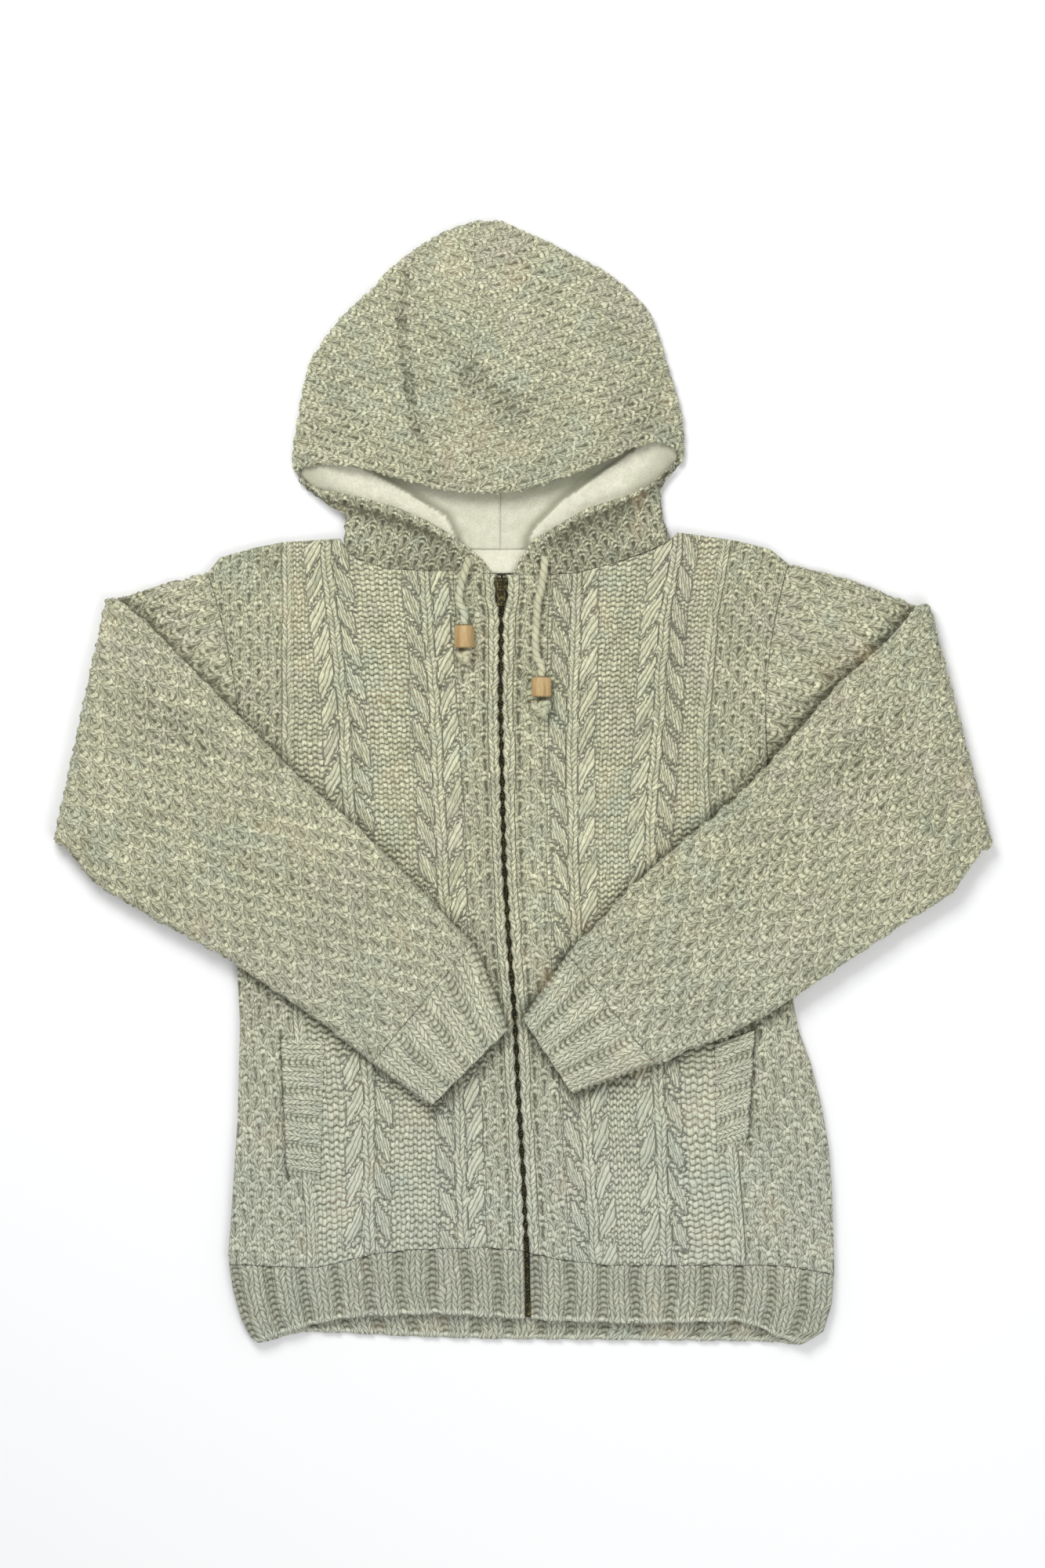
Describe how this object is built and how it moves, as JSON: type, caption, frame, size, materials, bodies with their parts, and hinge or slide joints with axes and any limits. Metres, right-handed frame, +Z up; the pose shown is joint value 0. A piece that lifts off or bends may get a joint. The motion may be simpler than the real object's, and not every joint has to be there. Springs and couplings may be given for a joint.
{
  "type": "zip-up hooded sweater laid flat",
  "caption": "Chunky cable-knit cardigan with a lined hood, metal zip, pocket welts and toggled drawstring, laid flat with its sleeves folded over the front.",
  "frame": {"origin": "on the surface it lies on, below the middle of the garment's box without the drawstring ends", "axes": "+Z up from the surface, +Y along the zip to the hood, +X to the wearer's left"},
  "size_m": [0.7771, 0.9329, 0.0283],
  "materials": {
    "wool": "heathered oatmeal hand-knit wool, matt and slightly hairy",
    "fleece": "cream fleece with a short nap",
    "tape": "woven zip tape",
    "cord": "twisted wool cord",
    "brass": "dark antique brass",
    "wood": "pale bare wood, satin"
  },
  "bodies": {
    "garment": {"back": "wool", "back_hem": "wool", "front_right": "wool", "front_left": "wool", "hem_right": "wool", "hem_left": "wool", "pocket_welt_right": "wool", "pocket_welt_left": "wool", "sleeve_right": "wool", "sleeve_left": "wool", "cuff_right": "wool", "cuff_left": "wool", "hood_right": "wool", "hood_left": "wool", "lining_right": "fleece", "lining_left": "fleece", "neck_tape": "fleece", "zip_tape_right": "tape", "zip_tape_left": "tape", "zip_chain": "brass", "zip_box": "brass", "zip_slider": "brass", "cord_right": "cord", "cord_left": "cord", "toggle_right": "wood", "toggle_left": "wood", "knot_right": "cord", "knot_left": "cord"},
    "pull_tab": {"zip_pull": "brass"}
  },
  "joints": [
    {"name": "pull_tab_hinge", "type": "hinge", "parent": "garment", "child": "pull_tab", "pos_m": [-0.0184, 0.1663, 0.0118], "axis": [-1, 0, 0], "range_deg": [0, 165]}
  ]
}
